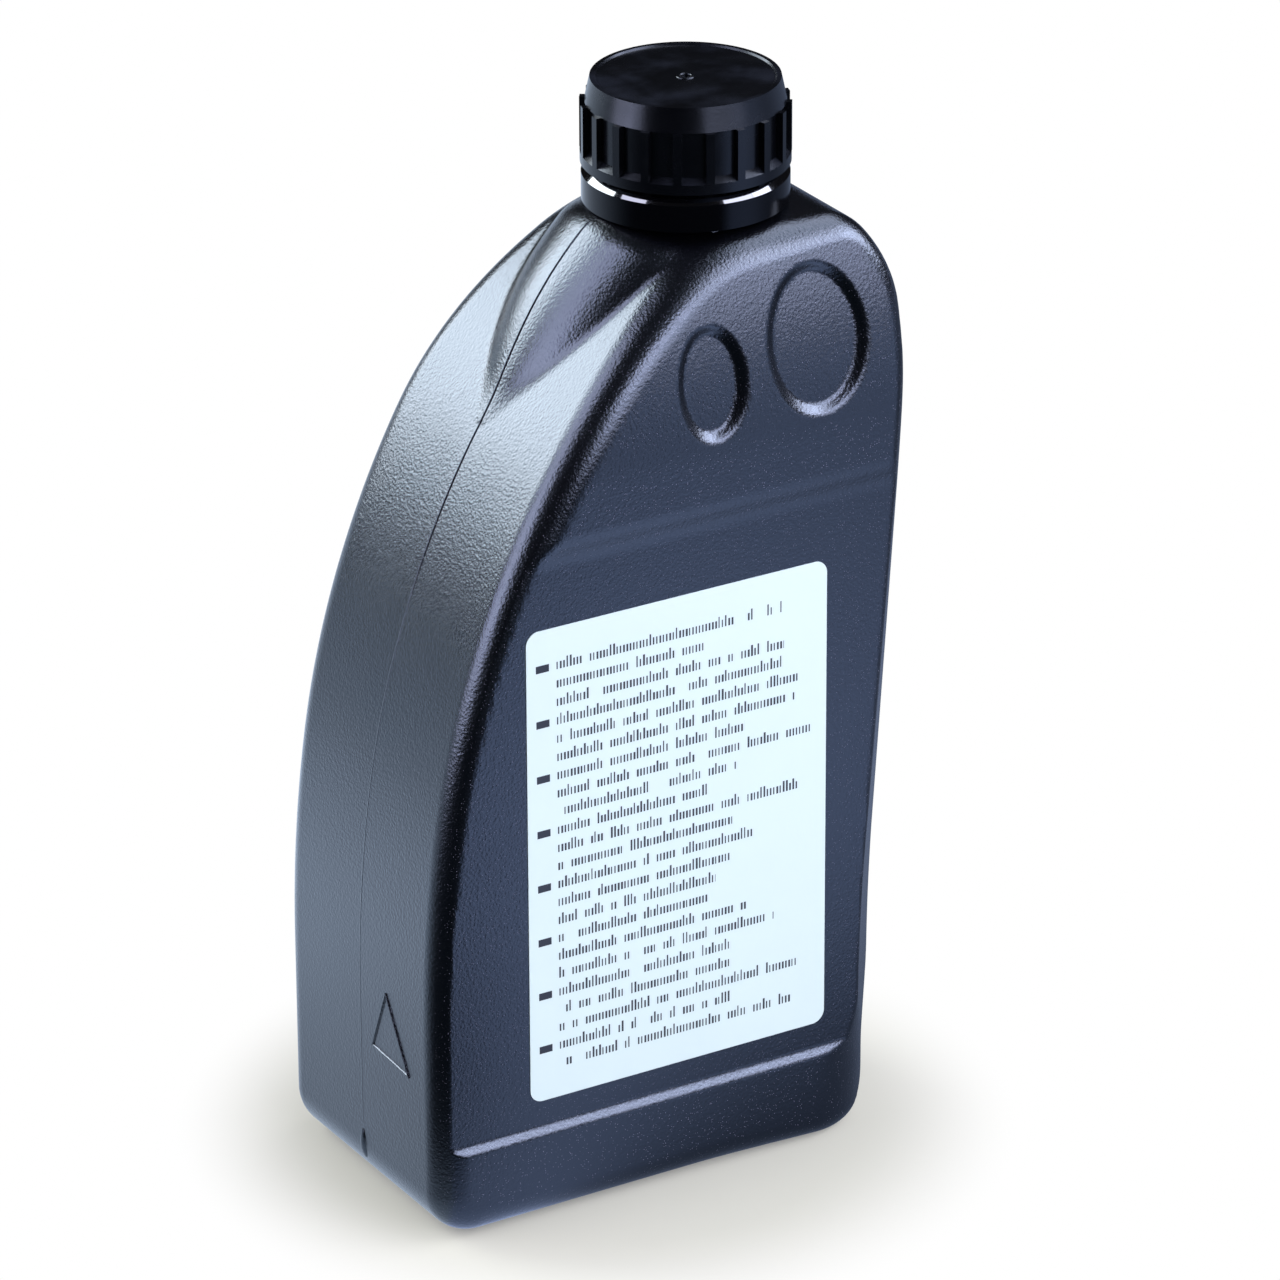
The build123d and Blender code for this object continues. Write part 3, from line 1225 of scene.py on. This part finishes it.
    def thread(self) -> bpy.types.Object:
        """Helical ridge of the neck's thread.

        Returns:
            The closed ridge.
        """
        steps = int(self.thread_steps * self.thread_turns)
        foot, crest = self.neck_radius - self.thread_sink, self.neck_radius + self.thread_depth
        wide, narrow = self.thread_widths
        section = ((foot, -wide / 2), (crest, -narrow / 2), (crest, narrow / 2), (foot, wide / 2))
        points = []
        for i in range(steps + 1):
            share = i / steps
            turn = 2 * pi * self.thread_turns * share
            height = self.thread_start + self.thread_pitch * self.thread_turns * share
            for radius, lift in section:
                points.append((self.neck_x + radius * cos(turn), radius * sin(turn), height + lift))
        faces = Mesh.band(steps + 1, len(section))
        faces.append([0, 1, 2, 3])
        faces.append([4 * steps + k for k in (3, 2, 1, 0)])
        return Mesh.make("thread_tool", np.array(points), faces)

    def build(self) -> bpy.types.Object:
        """Makes the hollow bottle as one closed mesh.

        Returns:
            The piece, on its body.
        """
        net = self._net(self.skin, self.skin_pitch, self.fine_across, self.fine_depth, self.fine_height)
        shell = Mesh.make("bottle_shell", *net.build(), self.skin_sharp)
        inside = self.ledge - self.neck_sink
        bead_top = self.bead_base + self.bead_height
        neck = [
            (0.0, inside),
            (self.neck_radius, inside),
            (self.neck_radius, self.bead_base),
            (self.bead_radius, self.bead_base),
            (self.bead_radius, self.bead_base + self.bead_height / 2),
            (self.neck_radius, bead_top),
            (self.neck_radius, self.mouth - self.mouth_round),
            (self.neck_radius - self.mouth_round, self.mouth),
            (0.0, self.mouth),
        ]
        low, top = inside - self.bore_sink, self.mouth + self.bore_over
        bore = [(0.0, low), (self.bore_radius, low), (self.bore_radius, top), (0.0, top)]
        Mesh.combine(shell, Mesh.lathe("neck_tool", neck, self.neck_x), "UNION")
        Mesh.combine(shell, self.thread(), "UNION")
        lining = self._net(self.lining, self.lining_pitch)
        Mesh.combine(shell, Mesh.make("lining_tool", *lining.build()), "DIFFERENCE")
        Mesh.combine(shell, Mesh.lathe("bore_tool", bore, self.neck_x), "DIFFERENCE")
        self._shade(shell)
        return adopt(shell, "bottle", Slot.BOTTLE, "bottle")

    def _shade(self, shell: bpy.types.Object) -> None:
        """Gives the skin the form's own normals, so that soft edges shade cleanly.

        Args:
            shell: the finished mesh.
        """
        mesh = shell.data
        flat = np.zeros(len(mesh.vertices) * 3)
        mesh.vertices.foreach_get("co", flat)
        points = flat.reshape(-1, 3) / MM
        on_skin = np.abs(self.skin(*points.T)) < self.skin_reach
        on_skin &= points[:, 2] < self.ledge - self.shade_drop
        normals = np.zeros_like(points)
        slope = Mould.slope(self.skin, points[on_skin])
        normals[on_skin] = slope / np.linalg.norm(slope, axis=1, keepdims=True)
        mesh.polygons.foreach_set("use_smooth", np.ones(len(mesh.polygons), bool))
        mesh.set_sharp_from_angle(angle=radians(self.skin_sharp))
        mesh.normals_split_custom_set_from_vertices(normals.tolist())


@dataclass
class MouldMarks:
    """Fine raised marks of the mould on the curved narrow side. Sizes in millimetres."""

    shell: BottleShell
    seam_top: float = 199.8
    seam_fade: Span = (137.0, 125.0)
    seam_foot: float = 15.0
    seam_width: float = 0.50
    seam_rise: float = 0.24
    seam_faint: float = 0.05
    triangle: tuple[tuple[float, float], ...] = ((-10.7, 48.3), (-4.9, 34.4), (-19.5, 33.5))
    triangle_width: float = 0.75
    triangle_rise: float = 0.36
    tab_foot: float = 6.4
    tab_top: float = 13.0
    tab_width: float = 2.1
    tab_rise: float = 0.55
    sink: float = 0.4
    sharp_angle: float = 70.0
    seam_steps: int = 150
    bar_steps: int = 9
    tab_steps: int = 14
    tab_ends: float = 0.12
    search_rounds: int = 40
    swell: tuple[Span, ...] = ((-0.5, 0.0), (-0.25, 0.72), (0.0, 1.0), (0.25, 0.72), (0.5, 0.0))

    def on_side(self, y: float, z: float) -> Array:
        """Point of the curved narrow side.

        Args:
            y: place in depth.
            z: height.

        Returns:
            The point on the skin.
        """
        outer, inner = -self.shell.width, self.shell.neck_x
        for _ in range(self.search_rounds):
            middle = (outer + inner) / 2
            if float(self.shell.skin(np.array(middle), np.array(y), np.array(z))) > 0:
                outer = middle
            else:
                inner = middle
        return np.array((inner, y, z))

    def ridge(self, name: str, path: Array, widths: Array, rises: Array) -> bpy.types.Object:
        """Sweeps a low rounded ridge along a path on the skin.

        Args:
            name: name of the piece.
            path: points on the skin.
            widths: full width at each point.
            rises: height at each point.

        Returns:
            The closed ridge.
        """
        along = np.gradient(path, axis=0)
        along /= np.linalg.norm(along, axis=1, keepdims=True)
        out = Mould.slope(self.shell.skin, path)
        out -= along * (out * along).sum(1, keepdims=True)
        out /= np.linalg.norm(out, axis=1, keepdims=True)
        side = np.cross(along, out)
        half = widths[:, None] / 2
        rings = [path - side * half - out * self.sink]
        for across, lift in self.swell:
            rings.append(path + side * across * widths[:, None] + out * rises[:, None] * lift)
        rings.append(path + side * half - out * self.sink)
        points = np.stack(rings, 1).reshape(-1, 3)
        count = len(rings)
        faces = [list(range(count)), [len(points) - 1 - k for k in range(count)]]
        faces += Mesh.band(len(path), count)
        return Mesh.make(name, points, faces, self.sharp_angle)

    def build(self) -> list[bpy.types.Object]:
        """Makes the seam, the triangle and the pinch-off tab.

        Returns:
            The pieces, on their body.
        """
        heights = np.linspace(self.seam_top, self.seam_foot, self.seam_steps)
        seam = np.array([self.on_side(0.0, height) for height in heights])
        start, end = self.seam_fade
        shown = Mould.step((heights - end) / (start - end))
        rises = self.seam_faint + (self.seam_rise - self.seam_faint) * shown
        pieces = [self.ridge("parting_seam", seam, np.full(len(seam), self.seam_width), rises)]
        full, shares = np.ones(self.bar_steps), np.linspace(0, 1, self.bar_steps)
        corners = [np.array(corner) for corner in self.triangle]
        for i, first in enumerate(corners):
            along = corners[(i + 1) % len(corners)] - first
            way = np.array([self.on_side(*(first + along * share)) for share in shares])
            name = f"triangle_bar_{i + 1}"
            pieces.append(self.ridge(name, way, full * self.triangle_width, full * self.triangle_rise))
        heights = np.linspace(self.tab_foot, self.tab_top, self.tab_steps)
        tab = np.array([self.on_side(0.0, height) for height in heights])
        fullness = np.sqrt(np.sin(np.linspace(self.tab_ends, pi - self.tab_ends, len(tab))))
        pieces.append(self.ridge("pinch_tab", tab, self.tab_width * fullness, self.tab_rise * fullness))
        return [adopt(piece, "bottle", Slot.BOTTLE) for piece in pieces]


@dataclass(frozen=True)
class SoftLamp:
    """Soft rectangular lamp: place in metres, width and height, brightness of its face and tint."""

    name: str
    place: Point
    size: Span
    level: float
    colour: Colour


@dataclass
class Studio:
    """Pale floor, soft lamps, white surround and the camera. Lengths in metres."""

    azimuth: float = -31.111
    elevation: float = 24.491
    roll: float = -0.227
    lens: float = 213.49
    sensor: float = 36.0
    stand_off: float = 1.540
    aim: Point = (0.01468, 0.00600, 0.10290)
    floor_size: float = 8.0
    # Floor colour, glow fade and glow share: the floor is darker close to the bottle, painted shade round its
    # base.
    floor_colour: Colour = (0.40, 0.385, 0.290)
    floor_fade: Span = (0.052, 0.088)
    floor_haze: float = 0.24
    floor_roughness: float = 0.9
    floor_specular: float = 0.1
    sheen_front: Colour = (1.30, 1.60, 2.45)
    sheen_back: Colour = (1.22, 1.46, 1.82)
    sheen_shade: Colour = (0.02, 0.03, 0.04)
    sheen_corner: Point = (-0.046, -0.017, 0.0)
    front_edges: Span = (0.49, 0.72)
    back_edges: Span = (-0.50, 0.55)
    sheen_split: Span = (-0.15, 0.15)
    sheen_foot: float = 0.66
    sheen_rise: Span = (0.07, 0.18)
    back_far: float = 0.62
    back_reach: Span = (0.22, 0.45)
    front_near: float = 0.82
    front_far: float = 0.44
    front_horizon: float = 0.95
    horizon_reach: Span = (0.75, 1.5)
    front_reach: Span = (0.22, 0.44)
    front_side: float = 0.22
    side_edges: Span = (-0.30, 0.35)
    shade_reach: Span = (0.05, 0.11)
    ambient: float = 0.015
    lamp_aim: Point = (0.0, 0.0, 0.1)
    lamps: tuple[SoftLamp, ...] = (
        SoftLamp("back_left", (-0.58, 1.02, 0.72), (0.75, 0.92), 9.8, (0.87, 0.945, 1.0)),
        SoftLamp("front_right", (0.61, -0.62, 0.98), (0.66, 0.74), 7.4, (0.79, 0.81, 1.0)),
        SoftLamp("front_panel", (0.300, -1.140, 0.640), (1.20, 0.78), 4.6, (0.76, 0.78, 1.0)),
        SoftLamp("right", (0.999, -0.404, 0.800), (0.70, 0.66), 10.0, (0.77, 0.81, 1.0)),
        SoftLamp("top_right", (0.628, 0.168, 1.226), (0.80, 0.62), 4.4, (0.77, 0.82, 1.0)),
        SoftLamp("left", (-1.077, 0.329, 0.76), (0.64, 1.62), 5.4, (0.78, 0.78, 1.0)),
        SoftLamp("left_low", (-1.261, 0.0, 0.415), (0.38, 0.55), 4.6, (0.78, 0.78, 1.0)),
        SoftLamp("front", (0.10, -1.12, 0.86), (0.56, 0.40), 6.0, (0.78, 0.79, 1.0)),
    )

    def camera(self) -> None:
        """Sets the camera at the photograph's angle."""
        turn, lift = radians(self.azimuth), radians(self.elevation)
        back = Vector((sin(turn) * cos(lift), -cos(turn) * cos(lift), sin(lift)))
        data = bpy.data.cameras.new("camera")
        data.sensor_width = self.sensor
        data.lens = self.lens
        camera = bpy.data.objects.new("camera", data)
        aimed = (-back).to_track_quat("-Z", "Y").to_matrix().to_4x4()
        rolled = aimed @ Matrix.Rotation(radians(self.roll), 4, "Z")
        camera.matrix_world = Matrix.Translation(Vector(self.aim) + back * self.stand_off) @ rolled
        bpy.context.scene.collection.objects.link(camera)
        bpy.context.scene.camera = camera

    def sheen(self, graph: Graph, away: Wire) -> bpy.types.NodeSocket:
        """What the bottle's gloss sees of the floor: a glow seen only in mirrored rays, a painted reflection
        that darkens towards the camera.

        Args:
            graph: the floor's material.
            away: distance from the bottle.

        Returns:
            The shader for mirrored rays.
        """
        turn = radians(self.azimuth)
        ahead = graph.vector("SUBTRACT", graph.place(), self.sheen_corner).outputs[0]
        ahead = graph.vector("NORMALIZE", ahead).outputs[0]
        near, right = (
            Wire(graph, graph.vector("DOT_PRODUCT", ahead, way).outputs["Value"])
            for way in ((sin(turn), -cos(turn), 0.0), (cos(turn), sin(turn), 0.0))
        )
        foot = self.sheen_foot + (1.0 - self.sheen_foot) * graph.ramp(away, *self.sheen_rise)
        back = foot * (1.0 - (1.0 - self.back_far) * graph.ramp(away, *self.back_reach))
        fall = (self.front_near - self.front_far) * graph.ramp(away, *self.front_reach)
        horizon = (self.front_horizon - self.front_far) * graph.ramp(away, *self.horizon_reach)
        side = self.front_side + (1.0 - self.front_side) * graph.ramp(near, *self.side_edges)
        front = foot * (self.front_near - fall + horizon) * side
        deep = graph.ramp(away, *self.shade_reach)
        dark = graph.glow(self.sheen_shade)
        halves = []
        for tone, edges, level in (
            (self.sheen_back, self.back_edges, back),
            (self.sheen_front, self.front_edges, front),
        ):
            shade = 1.0 - (1.0 - graph.ramp(near, *edges) * deep) * level
            halves.append(graph.blend(shade, graph.glow(tone), dark))
        return graph.blend(graph.ramp(right, *self.sheen_split), *halves)

    def floor(self) -> None:
        """Lays a pale floor that whitens away from the bottle, with painted shade close to its base, and has
        a sheen for mirrored rays.
        """
        half = self.floor_size / 2 / MM
        corners = np.array([(-half, -half, 0), (half, -half, 0), (half, half, 0), (-half, half, 0)])
        floor = Mesh.make("floor", corners, [[0, 1, 2, 3]])
        graph = Graph("pale_floor")
        graph.set(
            Base_Color=self.floor_colour,
            Roughness=self.floor_roughness,
            Specular_IOR_Level=self.floor_specular,
        )
        away = Wire(graph, graph.vector("LENGTH", graph.place()).outputs["Value"])
        seen = graph.wire("ShaderNodeLightPath", {}, {}, "Is Camera Ray")
        mirrored = graph.wire("ShaderNodeLightPath", {}, {}, "Is Glossy Ray")
        # Camera rays see a white glow that thins out close to the bottle, where the darker floor colour and
        # the lamps' shadows show: painted shade round the base, partly the lamps' real shadow.
        fade = (self.floor_haze + (1.0 - self.floor_haze) * graph.ramp(away, *self.floor_fade)) * seen
        # Mirrored rays see the floor's glow instead of its shader: painted reflection.
        under = graph.blend(mirrored, graph.shader.outputs[0], self.sheen(graph, away))
        shown = graph.blend(fade, under, graph.glow((1.0, 1.0, 1.0)))
        graph.link(shown, graph.output.inputs["Surface"])
        Mesh.dress(floor, graph.material)

    def world(self) -> None:
        """Gives a pale surround to the camera and a dim one to the light."""
        world = bpy.data.worlds.new("surround")
        sheet = Sheet(world, "ShaderNodeOutputWorld")
        seen = sheet.wire("ShaderNodeLightPath", {}, {}, "Is Camera Ray")
        level = self.ambient + (1.0 - self.ambient) * seen
        surround = sheet.node("ShaderNodeBackground", {}, {"Strength": level})
        sheet.link(surround.outputs[0], sheet.output.inputs["Surface"])
        bpy.context.scene.world = world

    def hang(self, lamp: SoftLamp) -> None:
        """Hangs one soft lamp that faces the bottle.

        Args:
            lamp: the lamp.
        """
        data = bpy.data.lights.new(lamp.name, "AREA")
        data.shape = "RECTANGLE"
        data.size, data.size_y = lamp.size
        data.energy = lamp.level * pi * lamp.size[0] * lamp.size[1]
        data.color = lamp.colour
        made = bpy.data.objects.new(lamp.name, data)
        outward = (Vector(lamp.place) - Vector(self.lamp_aim)).normalized()
        side = Vector((0.0, 0.0, 1.0)).cross(outward).normalized()
        axes = Matrix((side, outward.cross(side), outward)).transposed()
        made.matrix_world = Matrix.Translation(lamp.place) @ axes.to_4x4()
        made.visible_camera = False
        bpy.context.scene.collection.objects.link(made)

    def build(self) -> None:
        """Sets the floor, the surround, the lamps and the camera."""
        self.floor()
        self.world()
        for lamp in self.lamps:
            self.hang(lamp)
        self.camera()
        bpy.context.scene.view_settings.view_transform = "Standard"


@dataclass
class Closure:
    """Screw cap, tamper ring and sealing disc, with the ring round the gate mark. Sizes in millimetres."""

    cap: MouldedPlastic = MouldedPlastic(
        Slot.CAP.value,
        base=(0.0007, 0.0008, 0.0012),
        roughness=0.25,
        roughness_swing=0.20,
        index=1.43,
        # Smear colour, lighter than the base: partly smudges, partly painted sheen on the cap's top.
        smudge_and_sheen=(0.007, 0.008, 0.011),
    )
    ring: MouldedPlastic = MouldedPlastic(
        Slot.RING.value,
        base=(0.0006, 0.0006, 0.0009),
        roughness=0.12,
        roughness_swing=0.03,
        index=1.3,
        edge_gloss=0.5,
    )
    disc: FoamFinish = FoamFinish(Slot.DISC.value)
    cap_edge: float = 0.25
    ring_edge: float = 0.30
    edge_angle: float = 35.0
    edge_segments: int = 2
    gate_radii: Span = (1.1, 1.9)
    gate_rise: float = 0.25
    gate_drop: float = 0.35
    gate_ends: float = 0.3
    gate_steps: int = 5

    def soften(self, node: str, width: float) -> None:
        """Rounds the sharp edges of a model node's shown mesh.

        Args:
            node: name of the node.
            width: width of the rounding.
        """
        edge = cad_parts[node].modifiers.new("soft_edges", "BEVEL")
        edge.width = width * MM
        edge.segments = self.edge_segments
        edge.limit_method = "ANGLE"
        edge.angle_limit = radians(self.edge_angle)
        edge.harden_normals = True

    def gate_ring(self) -> bpy.types.Object:
        """Low raised ring on the dished top of the cap.

        Returns:
            The ring, on its body.
        """
        low, high = (np.array(corner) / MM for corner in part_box("screw_cap"))
        x, y, _ = (low + high) / 2
        inner, outer = self.gate_radii
        half, floor = (outer - inner) / 2, high[2] - self.gate_drop
        foot = floor - self.gate_rise
        turns = np.linspace(self.gate_ends, pi - self.gate_ends, self.gate_steps)
        crown = [(inner + half * (1.0 + cos(turn)), floor + self.gate_rise * sin(turn)) for turn in turns]
        section = [(inner, foot), (outer, foot), (outer, floor), *crown, (inner, floor)]
        return adopt(Mesh.hoop("gate_ring", section, x, y), "cap", Slot.CAP)

    def build(self) -> None:
        """Dresses the model's nodes and adds the gate's ring."""
        plastic = self.cap.material()
        finishes = {
            "screw_cap": plastic,
            "tamper_ring": self.ring.material(),
            "sealing_disc": self.disc.material(),
        }
        for node, finish in finishes.items():
            Mesh.dress(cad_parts[node], finish)
            LOG.info("%s dressed", node)
        self.soften("screw_cap", self.cap_edge)
        self.soften("tamper_ring", self.ring_edge)
        Mesh.dress(self.gate_ring(), plastic)


@dataclass
class BackLabel:
    """Pale printed label, which keeps the model's own shape."""

    film: PrintedFilm = PrintedFilm(Slot.LABEL.value)
    node: str = "back_label"

    def build(self) -> None:
        """Dresses the label."""
        Mesh.dress(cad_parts[self.node], self.film.material())
        LOG.info("%s dressed", self.node)


def main() -> None:
    """Builds the pieces in order."""
    logging.basicConfig(level=logging.INFO)
    bottle = BottleShell()
    plastic = GrainedPlastic(Slot.BOTTLE.value).material()
    for piece in [bottle.build(), *MouldMarks(bottle).build()]:
        Mesh.dress(piece, plastic)
    Closure().build()
    BackLabel().build()
    Studio().build()


if __name__ == "__main__":
    main()
